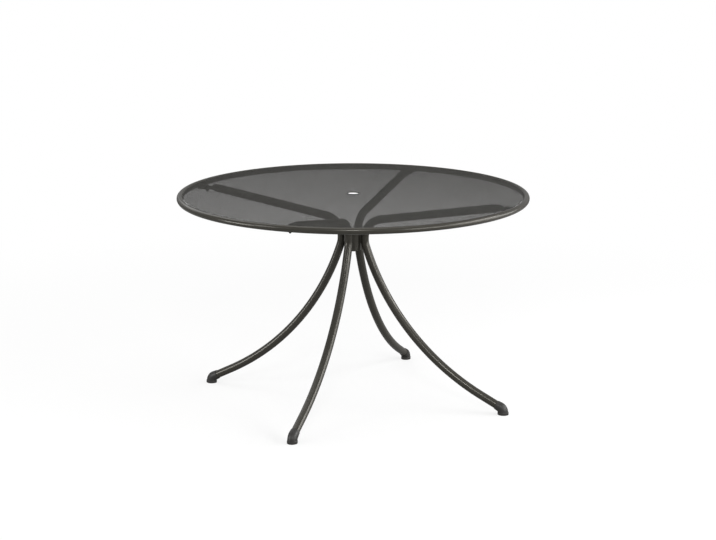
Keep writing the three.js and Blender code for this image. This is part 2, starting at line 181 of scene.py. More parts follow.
def stadium(turn, halfWidth, halfThick):
    # Point of a flat bar with round edges, at the turn of the matching point of a circle
    straight = halfWidth - halfThick
    sine, cosine = np.sin(turn), np.cos(turn)
    edgeTurn = 2 * np.arcsin(np.clip(sine, -sqrt(0.5), sqrt(0.5)))
    onFlat = np.abs(sine) >= sqrt(0.5)
    onEdge = np.sign(cosine) * (straight + halfThick * np.cos(edgeTurn))
    across = np.where(onFlat, straight * cosine * sqrt(2), onEdge)
    rise = np.where(onFlat, halfThick * np.sign(sine), halfThick * np.sin(edgeTurn))
    return across, rise


def sections(places, headings, halfWidth, halfThick, sides, flat=0.0, flatHalfWidth=0.0, flatHalfThick=0.0):
    # Rings round the stations of a path in the plane of one leg, square to the path: an ellipse that
    # turns into a flat bar as flat goes from 0 to 1
    turn = ((np.arange(sides) + 0.5) / sides * 2 * pi)[None, :]
    given = (flat, halfWidth, halfThick, flatHalfWidth, flatHalfThick)
    columns = [np.broadcast_to(value, len(places))[:, None] for value in given]
    flat, halfWidth, halfThick, flatHalfWidth, flatHalfThick = columns
    across, rise = stadium(turn, flatHalfWidth, flatHalfThick)
    y = halfWidth * np.cos(turn) * (1 - flat) + across * flat
    up = halfThick * np.sin(turn) * (1 - flat) + rise * flat
    x = places[:, :1] - headings[:, 1:] * up
    z = places[:, 1:] + headings[:, :1] * up
    return np.stack([x, y, z], axis=-1)


# Shader expressions

class Link:
    # One output socket of a material. Python's operators on it add Math nodes.
    def __init__(self, tree, socket=None):
        self.tree, self.socket = tree, socket

    def node(self, kind, settings=None, sockets=None, output=0):
        made = self.tree.nodes.new("ShaderNode" + kind)
        for name, value in (settings or {}).items():
            setattr(made, name, value)
        for name, value in (sockets or {}).items():
            if isinstance(value, Link):
                self.tree.links.new(value.socket, made.inputs[name])
            else:
                made.inputs[name].default_value = value
        return Link(self.tree, made.outputs[output]) if made.outputs else None

    def maths(self, operation, first, second):
        return self.node("Math", {"operation": operation}, {0: first, 1: second})

    def __add__(self, other):
        return self.maths("ADD", self, other)

    def __mul__(self, other):
        return self.maths("MULTIPLY", self, other)

    def __pow__(self, other):
        return self.maths("POWER", self, other)

    __radd__ = __add__
    __rmul__ = __mul__


def newMaterial(name):
    # An empty node tree, and the Link that makes its nodes
    material = bpy.data.materials.new(name)
    material.use_nodes = True
    material.node_tree.nodes.clear()
    return material, Link(material.node_tree)


def finishMaterial(shader, surface):
    shader.node("OutputMaterial", {}, {"Surface": surface})


smoothNoise = {"detail": 1.0}
cloudyNoise = {"detail": 3.0}
grittyNoise = {"detail": 4.0, "roughness": 0.7}
noiseRange = (0.3, 0.7)  # where most of a noise node's values lie


def noise(shader, place, scale, detail=2.0, roughness=0.5):
    return shader.node("TexNoise", {}, {
        "Vector": place, "Scale": scale, "Detail": detail, "Roughness": roughness,
    })


def spread(shader, value, low, high):
    # A noise value mapped from its usual range on to low to high
    return shader.node("MapRange", {"clamp": True}, {
        "Value": value, "From Min": noiseRange[0], "From Max": noiseRange[1], "To Min": low, "To Max": high,
    })


def coloured(shader, factor, colourA, colourB):
    # A Mix node's colours are its inputs 6 and 7 and its output 2
    colours = {0: factor, 6: (*colourA, 1), 7: (*colourB, 1)}
    return shader.node("Mix", {"data_type": "RGBA"}, colours, output=2)


def bumped(shader, height, strength):
    # Heights in metres
    return shader.node("Bump", {}, {"Height": height, "Strength": strength, "Distance": 1.0})


powderCoat = {
    "colour": (0.0335, 0.0315, 0.0265),
    "thinColour": (0.041, 0.0388, 0.033),  # where the powder lies thinner
    "roughness": (0.2, 0.27),
    "specular": 0.36,
    "specularTint": (1, 0.97, 0.88),
    "peelPerMetre": 620,  # orange peel
    "peelDepth": 0.00004,
    "speckPerMetre": 2600,  # the powder's own fine tooth
    "speckDepth": 0.000015,
    "patchPerMetre": 9,  # large soft patches in the colour
    "patchShare": 0.6,  # of the colour's variation; the specks have the rest
    "sheenPerMetre": 36,  # patches in the roughness
    "bumpStrength": 0.6,
}


def makePowderCoat(name, values):
    # Colour between the full and the thin coat by patches and specks, roughness by patches of its own,
    # and the heights of the peel and the specks added up for the bump
    material, shader = newMaterial(name)
    place = shader.node("TexCoord", output="Object")
    patches = noise(shader, place, values["patchPerMetre"], **cloudyNoise)
    specks = noise(shader, place, values["speckPerMetre"], **smoothNoise)
    thinness = patches * values["patchShare"] + specks * (1 - values["patchShare"])
    colour = coloured(shader, spread(shader, thinness, 0, 1), values["colour"], values["thinColour"])
    rough = spread(shader, noise(shader, place, values["sheenPerMetre"], **cloudyNoise), *values["roughness"])
    peel = noise(shader, place, values["peelPerMetre"], **smoothNoise)
    height = peel * values["peelDepth"] + specks * values["speckDepth"]
    surface = shader.node("BsdfPrincipled", {}, {
        "Base Color": colour,
        "Roughness": rough,
        "Normal": bumped(shader, height, values["bumpStrength"]),
        "Specular IOR Level": values["specular"],
        "Specular Tint": (*values["specularTint"], 1),
    })
    finishMaterial(shader, surface)
    return material


sheetCoat = dict(
    powderCoat,
    colour=(0.036, 0.0355, 0.0335),
    thinColour=(0.045, 0.0442, 0.0415),
    roughness=(0.46, 0.56),
)

bootPlastic = {
    "colour": (0.028, 0.0272, 0.0255),
    "scuffColour": (0.048, 0.0465, 0.0435),
    "roughness": (0.38, 0.50),
    "specular": 0.35,
    "grainPerMetre": 1700,  # moulded grain
    "grainDepth": 0.00005,
    "bumpStrength": 0.5,
    "scuffPerMetre": 240,
    "scuffHeight": 12,  # how far up from the floor the boot is scuffed
    "scuffShare": 0.8,
    "mottlePerMetre": 60,
    "mottleShare": 0.25,
    "sheenPerMetre": 90,
}


def makeBootPlastic(name, values):
    # Colour towards the scuffed one by noise that fades out above the floor and by a faint mottle
    material, shader = newMaterial(name)
    place = shader.node("TexCoord", output="Object")
    grain = shader.node("TexVoronoi", {"feature": "SMOOTH_F1"}, {
        "Vector": place, "Scale": values["grainPerMetre"],
    })
    height = shader.node("SeparateXYZ", {}, {"Vector": place}, output="Z")
    nearFloor = shader.node("MapRange", {"clamp": True}, {
        "Value": height, "From Min": values["scuffHeight"] * mm, "From Max": 0, "To Min": 0, "To Max": 1,
    })
    scuffs = spread(shader, noise(shader, place, values["scuffPerMetre"], **grittyNoise), 0, 1)
    mottle = spread(shader, noise(shader, place, values["mottlePerMetre"]), 0, values["mottleShare"])
    worn = nearFloor * scuffs * values["scuffShare"] + mottle
    colour = coloured(shader, worn, values["colour"], values["scuffColour"])
    rough = spread(shader, noise(shader, place, values["sheenPerMetre"], **cloudyNoise), *values["roughness"])
    surface = shader.node("BsdfPrincipled", {}, {
        "Base Color": colour,
        "Roughness": rough,
        "Normal": bumped(shader, grain * values["grainDepth"], values["bumpStrength"]),
        "Specular IOR Level": values["specular"],
    })
    finishMaterial(shader, surface)
    return material


blackSteel = {
    "colour": (0.045, 0.044, 0.043),
    "rubbedColour": (0.12, 0.118, 0.115),
    "roughness": (0.32, 0.48),
    "metallic": 0.75,
    "markPerMetre": 900,
    "markDepth": 0.00003,
    "rareness": 3,  # power that keeps the rubbed spots few
    "sheenPerMetre": 400,
    "bumpStrength": 0.5,
}


def makeBlackSteel(name, values):
    # Colour towards the rubbed one by the cube of the marks, which also make the bump
    material, shader = newMaterial(name)
    place = shader.node("TexCoord", output="Object")
    marks = noise(shader, place, values["markPerMetre"], **grittyNoise)
    rubbed = spread(shader, marks, 0, 1) ** values["rareness"]
    colour = coloured(shader, rubbed, values["colour"], values["rubbedColour"])
    rough = spread(shader, noise(shader, place, values["sheenPerMetre"], **cloudyNoise), *values["roughness"])
    surface = shader.node("BsdfPrincipled", {}, {
        "Base Color": colour,
        "Roughness": rough,
        "Normal": bumped(shader, marks * values["markDepth"], values["bumpStrength"]),
        "Metallic": values["metallic"],
    })
    finishMaterial(shader, surface)
    return material


steelCoat = makePowderCoat("powder_coat", powderCoat)
meshCoat = makePowderCoat("sheet_powder_coat", sheetCoat)
footPlastic = makeBootPlastic("boot_plastic", bootPlastic)
fastenerSteel = makeBlackSteel("black_steel", blackSteel)
print("materials made")


# Ring round the top

ring = {"tube": 22, "sides": 360, "tubeSides": 40}
ringRadius = boxOf("rim_ring")[1][0] - ring["tube"] / 2  # axis of the table to the middle of the tube
ringLevel = boxOf("rim_ring")[1][2] - ring["tube"] / 2


def ringSurface(values):
    # A circle of the tube's radius, carried round the Z axis at the ring's radius
    turn = np.arange(values["tubeSides"]) / values["tubeSides"] * 2 * pi
    radius = values["tube"] / 2
    profile = np.stack([ringRadius + radius * np.cos(turn), ringLevel + radius * np.sin(turn)], axis=1)
    return revolved(profile, values["sides"])


def insideRing(level):
    # Distance from the table's axis to the inner flank of the ring at a level
    return ringRadius - np.sqrt((ring["tube"] / 2) ** 2 - (level - ringLevel) ** 2)


meshPiece("ring", *ringSurface(ring), steelCoat, "powder_coat_steel", ["rim_ring"], sharpAngle=60)
print("ring made")


# Expanded sheet

eyelet = {
    "neck": 1.2,
    "plate": 0.6,
    "flange": 2.3,
    "rounding": 0.28,
    "insideRounding": 0.1,
    "mouthShare": 0.8,  # rounding of the upper mouth as a share of the plate
    "seat": 0.4,  # from the sheet's plain metal to a plate, which leaves room for the tilted strands
    "sides": 96,
}
sheet = {
    "longWay": 12.7,  # tip to tip of a diamond
    "shortWay": 6.35,
    "strand": 1.05,
    "bond": 1.9,  # length of the plain metal between the tips of two diamonds
    "thickness": 1.0,
    "tilt": 0.4,  # how far the edges of a strand stand above and below its middle
    "edge": 0.2,  # flat bevel along the top of each strand
    "border": 1.2,
    "longWayTurn": -63.8,  # degrees from +X
    "sectors": 8,
    "leastOpenShare": 0.25,  # a diamond cut down further than this is left plain
    "spareCells": 2,  # beyond the edge, before the cells outside it are left out
    "mergeDecimals": 2,  # corners that agree to this many decimals of a mm are one point
}
sheetTop = boxOf("mesh_top")[1][2]
sheetLevel = sheetTop - sheet["tilt"]  # upper side of the plain metal
sheetOuter = boxOf("mesh_top")[1][0]
sheetInner = boxOf("umbrella_eyelet")[1][0] - eyelet["flange"] + seatGap  # the hole for the eyelet's neck
tiny = 1e-9  # stands for a radius of zero, so that nothing is divided by it


def sheetCells(values):
    # Middles of the diamonds: rows half a short way apart, every other row shifted by half a long way
    halfLong, halfShort = values["longWay"] / 2, values["shortWay"] / 2
    across = int(sheetOuter / halfLong) + values["spareCells"]
    along = int(sheetOuter / halfShort) + values["spareCells"]
    i, j = np.meshgrid(np.arange(-across, across + 1), np.arange(-along, along + 1), indexing="ij")
    keep = (i + j) % 2 == 0
    return np.stack([i[keep] * halfLong, j[keep] * halfShort], axis=1)


def sheetOutlines(values):
    # Six corners of a cell, six of its hole and six of the hole at the top of its bevel: the slanted sides
    # are drawn in by half a strand and the sides at the bonds by a whole one
    halfLong, halfShort, halfBond = values["longWay"] / 2, values["shortWay"] / 2, values["bond"] / 2
    tip = halfLong - halfBond
    run = halfLong - 2 * halfBond
    slope = hypot(run, halfShort)
    cell = [
        (tip, 0), (halfBond, halfShort), (-halfBond, halfShort),
        (-tip, 0), (-halfBond, -halfShort), (halfBond, -halfShort),
    ]

    def hole(growth):
        flank = halfShort - values["strand"] + growth
        side = values["strand"] / 2 - growth
        reach = tip - side * slope / halfShort
        near = tip - (side * slope + run * flank) / halfShort
        return [(reach, 0), (near, flank), (-near, flank), (-reach, 0), (-near, -flank), (near, -flank)]

    return np.array(cell), np.array(hole(0)), np.array(hole(values["edge"]))


def clampRadius(points, inner, outer):
    # Points moved along their radius on to the sheet, between its hole and its edge
    radius = np.maximum(np.linalg.norm(points, axis=-1, keepdims=True), tiny)
    return points * np.clip(radius, inner, outer) / radius


def outlineArea(outlines):
    # Half the sum of the cross products of neighbouring corners
    x, y = outlines[..., 0], outlines[..., 1]
    return 0.5 * (x * np.roll(y, -1, axis=-1) - y * np.roll(x, -1, axis=-1)).sum(axis=-1)


def sheetSector(values, cells, outline, hole, lip):
    # Cells share the points of their outlines. Each open cell has a top, a bevel, a wall and a bottom, and
    # the outlines that no second cell shares get a wall of their own. The strands are tilted as slitting
    # and stretching leaves them: one edge of a hole stands above the sheet's middle and the other below.
    corners = len(outline)
    turn = radians(values["longWayTurn"])
    spin = np.array([[cos(turn), sin(turn)], [-sin(turn), cos(turn)]])

    def placed(shape, margin):
        turned = (cells[:, None, :] + shape[None, :, :]) @ spin
        return clampRadius(turned, sheetInner + margin, sheetOuter - margin)

    outer, inner, rim = placed(outline, 0), placed(hole, values["border"]), placed(lip, values["border"])
    isOpen = outlineArea(inner) > values["leastOpenShare"] * outlineArea(hole)
    rounded = np.round(outer.reshape(-1, 2), values["mergeDecimals"])
    flatOuter, shared = np.unique(rounded, axis=0, return_inverse=True)
    shared = shared.reshape(-1, corners)
    count = len(flatOuter)
    openCount = int(isOpen.sum())
    tilt = np.tile(values["tilt"] * hole[:, 1] / hole[:, 1].max(), openCount)

    def level(flat, rise):
        height = np.broadcast_to(sheetLevel + rise, len(flat))
        return np.concatenate([flat, height[:, None]], axis=1)

    rims, holes = rim[isOpen].reshape(-1, 2), inner[isOpen].reshape(-1, 2)
    points = np.concatenate([
        level(flatOuter, 0), level(flatOuter, -values["thickness"]),
        level(rims, tilt), level(holes, tilt - values["edge"]), level(holes, tilt - values["thickness"]),
    ])
    own = np.arange(openCount * corners).reshape(-1, corners)
    starts = [2 * count + k * openCount * corners for k in range(3)]
    levels = [shared[isOpen], own + starts[0], own + starts[1], own + starts[2], shared[isOpen] + count]

    def band(upper, lower):
        nextUpper, nextLower = np.roll(upper, -1, axis=1), np.roll(lower, -1, axis=1)
        return np.stack([upper, lower, nextLower, nextUpper], axis=-1).reshape(-1, 4)

    faces = [band(levels[k], levels[k + 1]) for k in range(4)]
    plain = shared[~isOpen]
    faces += [plain[:, [0, 1, 2, 3]], plain[:, [0, 3, 4, 5]]]
    faces += [plain[:, [3, 2, 1, 0]] + count, plain[:, [5, 4, 3, 0]] + count]
    first, second = shared.ravel(), np.roll(shared, -1, axis=1).ravel()
    key = np.minimum(first, second) * count + np.maximum(first, second)
    _, where, times = np.unique(key, return_index=True, return_counts=True)
    lone = where[(times == 1) & (first[where] != second[where])]
    first, second = first[lone], second[lone]
    faces.append(np.stack([second, first, first + count, second + count], axis=1))
    return points, [np.concatenate(faces)]


def makeSheet(values):
    # The sheet in sectors, so that no piece has too many triangles. Returns the count of diamonds.
    outline, hole, lip = sheetOutlines(values)
    cells = sheetCells(values)
    tips = np.linalg.norm(cells[:, None, :] + outline[None, :, :], axis=-1)
    inEdge = tips.min(axis=1) < sheetOuter - values["border"]
    outsideHole = tips.max(axis=1) > sheetInner + values["border"]
    cells = cells[inEdge & outsideHole]
    sector = ((np.arctan2(cells[:, 1], cells[:, 0]) / (2 * pi) % 1) * values["sectors"]).astype(int)
    for number in range(values["sectors"]):
        points, faces = sheetSector(values, cells[sector == number], outline, hole, lip)
        meshPiece(f"sheet_sector_{number + 1}", points, faces, meshCoat, "powder_coat_mesh", ["mesh_top"])
    return len(cells)


print("sheet made:", makeSheet(sheet), "diamonds")


# Eyelet in the sheet and sleeve under it

sleeve = {"wall": 2.5, "rounding": 0.8, "sides": 128}


def eyeletSurface(values):
    # A spool's outline carried round the Z axis: two thin plates hold the edge of the sheet's hole
    outer = boxOf("umbrella_eyelet")[1][0]
    neck = outer - values["flange"]
    bore = neck - values["neck"]
    upper = sheetLevel + values["seat"]
    lower = sheetLevel - sheet["thickness"] - values["seat"]
    top, bottom = upper + values["plate"], lower - values["plate"]
    edge, inside = values["rounding"], values["insideRounding"]
    mouth = values["plate"] * values["mouthShare"]
    profile = filleted([
        (bore, bottom), (outer, bottom), (outer, lower), (neck, lower),
        (neck, upper), (outer, upper), (outer, top), (bore, top),
    ], [edge, edge, edge, inside, inside, edge, edge, mouth])
    return revolved(profile, values["sides"])


def sleeveSurface(values):
    # A tall rectangle with rounded corners, carried round the Z axis
    low, high = boxOf("pole_sleeve")
    outer = high[0]
    inner = outer - values["wall"]
    corners = [(inner, low[2]), (outer, low[2]), (outer, high[2]), (inner, high[2])]
    return revolved(filleted(corners, values["rounding"]), values["sides"])


points, faces = eyeletSurface(eyelet)
meshPiece("eyelet", points, faces, steelCoat, "powder_coat_steel", ["umbrella_eyelet"], sharpAngle=40)
points, faces = sleeveSurface(sleeve)
meshPiece("sleeve", points, faces, steelCoat, "powder_coat_steel", ["pole_sleeve"], sharpAngle=40)
print("eyelet and sleeve made")


# Bent tubes

legTube = {
    "tube": 28,
    "kneeSetback": 81,  # end of the arm to where the rising arm levels out
    "kneeBend": 60,
    "armRise": 75.5,
    "archBend": 70,
    "waistLength": 75,
    "waistBend": 67,
    "sweepReachShare": 0.2243,
    "sweepHeightShare": 0.388,
    "pressedThickness": 5,
    "pressedWidth": 41,
    "pressedLength": 45,
    "pressedCorner": 6,
    "pressedEdge": 1.0,
    "cornerStations": 10,
    "pressRun": 30,  # from the flat end to the full round
    "pressRunAbove": 13,  # the same on the upper side
    "pressStations": 14,
    "endSetback": 5,  # end of the tube to the middle of the foot
    "footInset": 54.5,  # edge of the top to the middle of the foot
    "footAxisHeight": 19.8,
    "sides": 40,
    "step": 5,  # between two stations in a bend
    "sweepStep": 10,  # the same in the leg's long sweep
}
boot = {
    "cover": 27.5,  # mouth of the collar to the middle of the foot
    "collarWall": 1.9,
    "elbowWall": 2.8,
    "length": 38,
    "width": 35,
    "crease": 1.5,
    "stepHeight": 8.5,
    "step": 0.8,
    "stepDrop": 0.4,
    "edge": 1.2,
    "socketDepth": 14,
    "collarRun": 3.6,  # mouth of the collar to where its outside is straight
    "sides": 64,
    "lipStations": 9,
    "elbowStations": 28,
    "stepStations": 5,
    "edgeStations": 6,
}
topRadius = boxOf("rim_ring")[1][0]
sleeveRadius = boxOf("pole_sleeve")[1][0]
tabLow, tabHigh = boxOf("rim_tab_1")
tubeRadius = legTube["tube"] / 2
armEnd = np.array([boxOf("leg_tube_1")[1][0], tabLow[2] - seatGap - legTube["pressedThickness"] / 2])
knee = armEnd - (legTube["kneeSetback"], 0)
waistReach = sleeveRadius + seatGap + tubeRadius
arch = np.array([waistReach, armEnd[1] - legTube["armRise"]])
waist = arch - (0, legTube["waistLength"])
footReach = topRadius - legTube["footInset"]
footAim = np.array([footReach, legTube["footAxisHeight"]])
sweep = np.array([
    waistReach + (footReach - waistReach) * legTube["sweepReachShare"],
    waist[1] * legTube["sweepHeightShare"],
])
footHeading = unit(footAim - sweep)


def beforeFoot(distance):
    # Point on the leg's straight end, at a distance from the middle of the foot
    return footAim - footHeading * distance


def tangentLength(before, corner, after, radius):
    # Radius times the tangent of half the turn
    turn = np.arccos(np.clip(unit(corner - before) @ unit(after - corner), -1, 1))
    return radius * tan(turn / 2)


def tubePath(values):
    # Places and headings along the whole tube, and for each the flatness, narrowing and thinning there
    end = beforeFoot(values["endSetback"])
    runBefore = np.linalg.norm(sweep - waist) - tangentLength(arch, waist, sweep, values["waistBend"])
    runAfter = np.linalg.norm(sweep - footAim) - boot["cover"]
    sweepBend = min(runBefore, runAfter) / tangentLength(waist, sweep, end, 1)
    bends = [
        bendStations(armEnd, knee, arch, values["kneeBend"], values["step"]),
        bendStations(knee, arch, waist, values["archBend"], values["step"]),
        bendStations(arch, waist, sweep, values["waistBend"], values["step"]),
        bendStations(waist, sweep, end, sweepBend, values["sweepStep"]),
    ]
    # Rounded corners of the pressed end: a quarter circle in plan, with a rounded edge at its tip
    angle = np.linspace(0, pi / 2, values["cornerStations"])
    cornerRun = values["pressedCorner"] * (1 - np.cos(angle))
    cornerNarrow = values["pressedCorner"] * (1 - np.sin(angle))
    cornerThin = values["pressedEdge"] * np.clip(1 - cornerRun / values["pressedEdge"], 0, 1) ** 2
    # From flat to round: the upper side rises sooner than the lower side falls, so the middle lifts
    pressShare = np.linspace(0, 1, values["pressStations"])
    aboveShare = np.clip(pressShare * values["pressRun"] / values["pressRunAbove"], 0, 1)
    below, above = smoothStep(pressShare), smoothStep(aboveShare)
    pressLift = (tubeRadius - values["pressedThickness"] / 2) * (above - below) / 2
    armRun = np.concatenate([cornerRun, values["pressedLength"] + pressShare * values["pressRun"]])
    armLift = np.concatenate([0 * angle, pressLift])
    armPlaces = np.stack([armEnd[0] - armRun, armEnd[1] + armLift], axis=1)
    armHeadings = np.tile([-1.0, 0.0], (len(armRun), 1))
    places = np.concatenate([armPlaces, *[bend[0] for bend in bends], [end]])
    headings = np.concatenate([armHeadings, *[bend[1] for bend in bends], [footHeading]])
    roundRest = np.zeros(len(places) - len(armRun))
    flat = np.concatenate([0 * angle + 1, 1 - (above + below) / 2, roundRest])
    narrow = np.concatenate([cornerNarrow, 0 * pressShare, roundRest])
    thin = np.concatenate([cornerThin, 0 * pressShare, roundRest])
    return places, headings, flat, narrow, thin


tubePlaces, tubeHeadings, tubeFlat, tubeNarrow, tubeThin = tubePath(legTube)


def legTubeSurface(values):
    # A circle carried along the path, pressed to a flat bar with rounded corners at the arm's end
    grid = sections(
        tubePlaces, tubeHeadings, tubeRadius, tubeRadius, values["sides"], tubeFlat,
        values["pressedWidth"] / 2 - tubeNarrow, values["pressedThickness"] / 2 - tubeThin,
    )
    return tubeSurface(grid)


def bootSurface(values):
    # Rings from the bottom of the socket out over the collar's lip, round the elbow about its inner
    # crease, and down the stepped pad to the floor
    halfLength, halfWidth = values["length"] / 2, values["width"] / 2
    elbowHalf = tubeRadius + values["elbowWall"]
    collarHalf = tubeRadius + values["collarWall"]
    socketHalf = tubeRadius + seatGap
    lift = np.array([-footHeading[1], footHeading[0]])
    offset = values["crease"] + elbowHalf
    creaseReach = footReach - halfLength - values["crease"]
    elbowStart = beforeFoot((footReach - creaseReach - offset * lift[0]) / footHeading[0])
    crease = elbowStart - lift * offset
    lip = (collarHalf - socketHalf) / 2
    lipTurn = np.linspace(0, pi, values["lipStations"])
    lipRun = lip * (1 - np.sin(lipTurn))
    collarRun = np.concatenate([[values["socketDepth"]], lipRun, [values["collarRun"]]])
    collarSize = np.concatenate([[socketHalf], socketHalf + lip * (1 - np.cos(lipTurn)), [collarHalf]])
    collarPlaces = beforeFoot(values["cover"]) + footHeading * collarRun[:, None]
    share = np.linspace(0, 1, values["elbowStations"])
    down = np.array([0.0, -1.0])
    angle = np.arccos(footHeading @ down) * share
    headings = np.stack([
        footHeading[0] * np.cos(angle) + footHeading[1] * np.sin(angle),
        -footHeading[0] * np.sin(angle) + footHeading[1] * np.cos(angle),
    ], axis=1)
    outward = np.stack([-headings[:, 1], headings[:, 0]], axis=1)
    thick = elbowHalf + (halfLength - values["step"] - elbowHalf) * share
    wide = elbowHalf + (halfWidth - values["step"] - elbowHalf) * share
    places = crease + outward * (values["crease"] + thick)[:, None]
    edgeTurn = np.linspace(0, pi / 2, values["edgeStations"])
    stepTurn = np.linspace(0, pi / 2, values["stepStations"])
    padLevel = np.concatenate([
        values["stepHeight"] + values["step"] * (1 - np.sin(stepTurn)),
        [values["stepHeight"] - values["stepDrop"]], values["edge"] * (1 - np.sin(edgeTurn)),
    ])
    padGrow = np.concatenate([
        -values["step"] * np.cos(stepTurn), [0], -values["edge"] * (1 - np.cos(edgeTurn)),
    ])
    padPlaces = np.stack([np.full(len(padLevel), footReach), padLevel], axis=1)
    collarHeadings = np.tile(footHeading, (len(collarRun), 1))
    padHeadings = np.tile(down, (len(padLevel), 1))
    grid = np.concatenate([
        sections(collarPlaces, collarHeadings, collarSize, collarSize, values["sides"]),
        sections(places, headings, wide, thick, values["sides"]),
        sections(padPlaces, padHeadings, halfWidth + padGrow, halfLength + padGrow, values["sides"]),
    ])
    return tubeSurface(grid)


for number in range(1, legCount + 1):
    points, faces = legTubeSurface(legTube)
    points = quarterTurn(points, number)
    replaced = [f"leg_tube_{number}"]
    meshPiece(f"bent_tube_{number}", points, faces, steelCoat, "powder_coat_steel", replaced, sharpAngle=50)
    points, faces = bootSurface(boot)
    points = quarterTurn(points, number)
    replaced = [f"foot_boot_{number}"]
    meshPiece(f"boot_{number}", points, faces, footPlastic, "foot_plastic", replaced, sharpAngle=50)
print("tubes and boots made")


# Tabs and fasteners

tab = {"corner": 8, "cornerStations": 10, "edge": 0.6, "edgeStations": 4}
fastener = {
    "hexWidth": 10,
    "headHeight": 4,
    "headCrown": 0.05,  # fall of the head's top from its flat middle to its rim
    "headCrownShare": 0.8,  # of the head's half width that is flat
    "headEdge": 0.15,  # the cone that cuts the corners ends this much lower than its slope gives
    "chamferSlope": 0.5,
    "thread": 6,
    "pitch": 1,
    "threadDepth": 0.5,
    "threadStations": 110,
    "washer": 12,
    "washerEdge": 0.3,
    "washerEdgeStations": 4,
    "capHexHeight": 5.4,
    "capDome": 9.4,
    "domeStations": 16,
    "capBore": 7.6,  # depth of the cap nut's bore
    "capBoreChamfer": 0.4,
    "sides": 48,
}


def tabSurface(values):
    # The tab's outline as rings: a flat ring on each face, and rounded edges between them
    corner = values["corner"]
    turn = np.linspace(pi / 2, pi, values["cornerStations"])
    half = tabHigh[1]
    near = np.stack([tabLow[0] + corner * (1 + np.cos(turn)), half - corner * (1 - np.sin(turn))], axis=1)
    far = near[::-1] * (1, -1)
    outline = np.concatenate([[(tabHigh[0], half)], near, far, [(tabHigh[0], -half)]])
    middle = np.array([(tabLow[0] + tabHigh[0]) / 2, 0])
    size = np.array([(tabHigh[0] - tabLow[0]) / 2, half])
    edgeTurn = np.linspace(0, pi / 2, values["edgeStations"])
    sineDrop = values["edge"] * (1 - np.sin(edgeTurn))
    cosineDrop = values["edge"] * (1 - np.cos(edgeTurn))
    inset = np.concatenate([sineDrop, cosineDrop])
    level = np.concatenate([tabHigh[2] - cosineDrop, tabLow[2] + sineDrop])
    share = 1 - inset[:, None] / size[None, :]
    flat = middle + (outline - middle)[None, :, :] * share[:, None, :]
    grid = np.concatenate([flat, np.broadcast_to(level[:, None, None], (*flat.shape[:2], 1))], axis=-1)
    return tubeSurface(grid)


boltReach = (boxOf("arm_bolt_1")[0][0] + boxOf("arm_bolt_1")[1][0]) / 2
turns = np.arange(fastener["sides"]) / fastener["sides"] * 2 * pi


def hexRadius(width):
    # Distance from the middle of a hexagon to its side, for every turn
    return width / 2 / np.cos(turns % (pi / 3) - pi / 6)


def ringOf(radius, level):
    # A ring round the bolt's axis, its radius and height given for all turns or for each
    radius = np.broadcast_to(radius, turns.shape)
    level = np.broadcast_to(level, turns.shape)
    return np.stack([boltReach + radius * np.cos(turns), radius * np.sin(turns), level], axis=-1)


def boltSurface(values):
    # Hexagon head whose cone cuts the corners, then a shank with a helical thread: the radius falls and
    # rises once for each pitch of height, shifted by the turn
    low, high = boxOf("arm_bolt_1")
    seat = high[2] - values["headHeight"]
    sides = hexRadius(values["hexWidth"])
    flatRadius = values["hexWidth"] / 2
    cut = (sides - flatRadius) * values["chamferSlope"]
    level = np.linspace(seat, low[2], values["threadStations"])[:, None]
    wave = np.abs(((level / values["pitch"] - turns[None, :] / (2 * pi)) % 1) * 2 - 1)
    fade = np.clip((level - low[2]) / values["pitch"], 0, 1)
    radius = values["thread"] / 2 - values["threadDepth"] * (1 - wave * fade)
    thread = np.stack([
        boltReach + radius * np.cos(turns), radius * np.sin(turns), np.broadcast_to(level, radius.shape),
    ], axis=-1)
    head = [
        ringOf(flatRadius * values["headCrownShare"], high[2]),
        ringOf(flatRadius, high[2] - values["headCrown"]),
        ringOf(sides, high[2] - values["headEdge"] - cut),
        ringOf(sides, seat),
    ]
    return tubeSurface(np.concatenate([head, thread]))


def nutSurface(values):
    # Cap nut: from the bottom of its blind bore up, over the top of the hexagon, down its sides and
    # round the dome, which is a quarter of an ellipse carried round
    low, high = boxOf("arm_nut_1")
    sides = hexRadius(values["hexWidth"])
    flatRadius = values["hexWidth"] / 2
    cut = (sides - flatRadius) * values["chamferSlope"]
    bore = values["thread"] / 2 + seatGap
    hexBottom = high[2] - values["capHexHeight"]
    chamfer = values["capBoreChamfer"]
    domeTurn = np.linspace(0, pi / 2, values["domeStations"])[:-1]
    domeRadius, domeHeight = values["capDome"] / 2, hexBottom - low[2]
    dome = [ringOf(domeRadius * cos(angle), hexBottom - domeHeight * sin(angle)) for angle in domeTurn]
    return tubeSurface(np.stack([
        ringOf(bore, high[2] - values["capBore"]),
        ringOf(bore, high[2] - chamfer),
        ringOf(bore + chamfer, high[2]),
        ringOf(flatRadius, high[2]),
        ringOf(sides, high[2] - cut),
        ringOf(sides, hexBottom + cut),
        ringOf(flatRadius, hexBottom),
        *dome,
    ]))


def washerSurface(values):
    # A flat rectangle with rounded corners, carried round the bolt's axis
    low, high = boxOf("arm_washer_1")
    bore, outer = values["thread"] / 2 + seatGap, values["washer"] / 2
    corners = [(bore, low[2]), (outer, low[2]), (outer, high[2]), (bore, high[2])]
    profile = filleted(corners, values["washerEdge"], values["washerEdgeStations"])
    points, faces = revolved(profile, values["sides"])
    return points + (boltReach, 0, 0), faces


